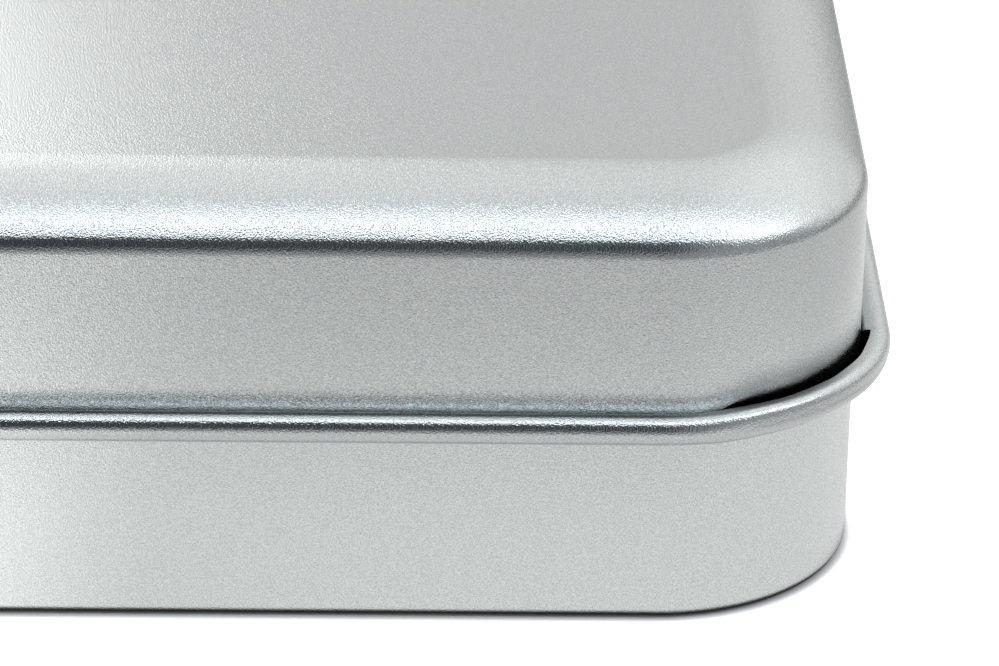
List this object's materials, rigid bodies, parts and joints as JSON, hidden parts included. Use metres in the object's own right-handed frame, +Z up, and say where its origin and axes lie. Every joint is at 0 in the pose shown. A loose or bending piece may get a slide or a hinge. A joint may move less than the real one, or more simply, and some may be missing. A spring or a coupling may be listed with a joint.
{
  "type": "rectangular tin box",
  "caption": "Shut rectangular metal tin with rounded corners, for prepared food: a drawn body and a slip lid whose skirt ends in a curl rolled outwards.",
  "frame": {"origin": "on the floor, at the middle of the tin's base", "axes": "+X along the long sides, -Y out of the front long side, +Z up"},
  "size_m": [0.1248, 0.0898, 0.0302],
  "materials": {
    "tinplate": "bare satin tinplate with a fine even grain"
  },
  "bodies": {
    "root": {"tin_body": "tinplate", "tin_lid": "tinplate"}
  },
  "joints": []
}
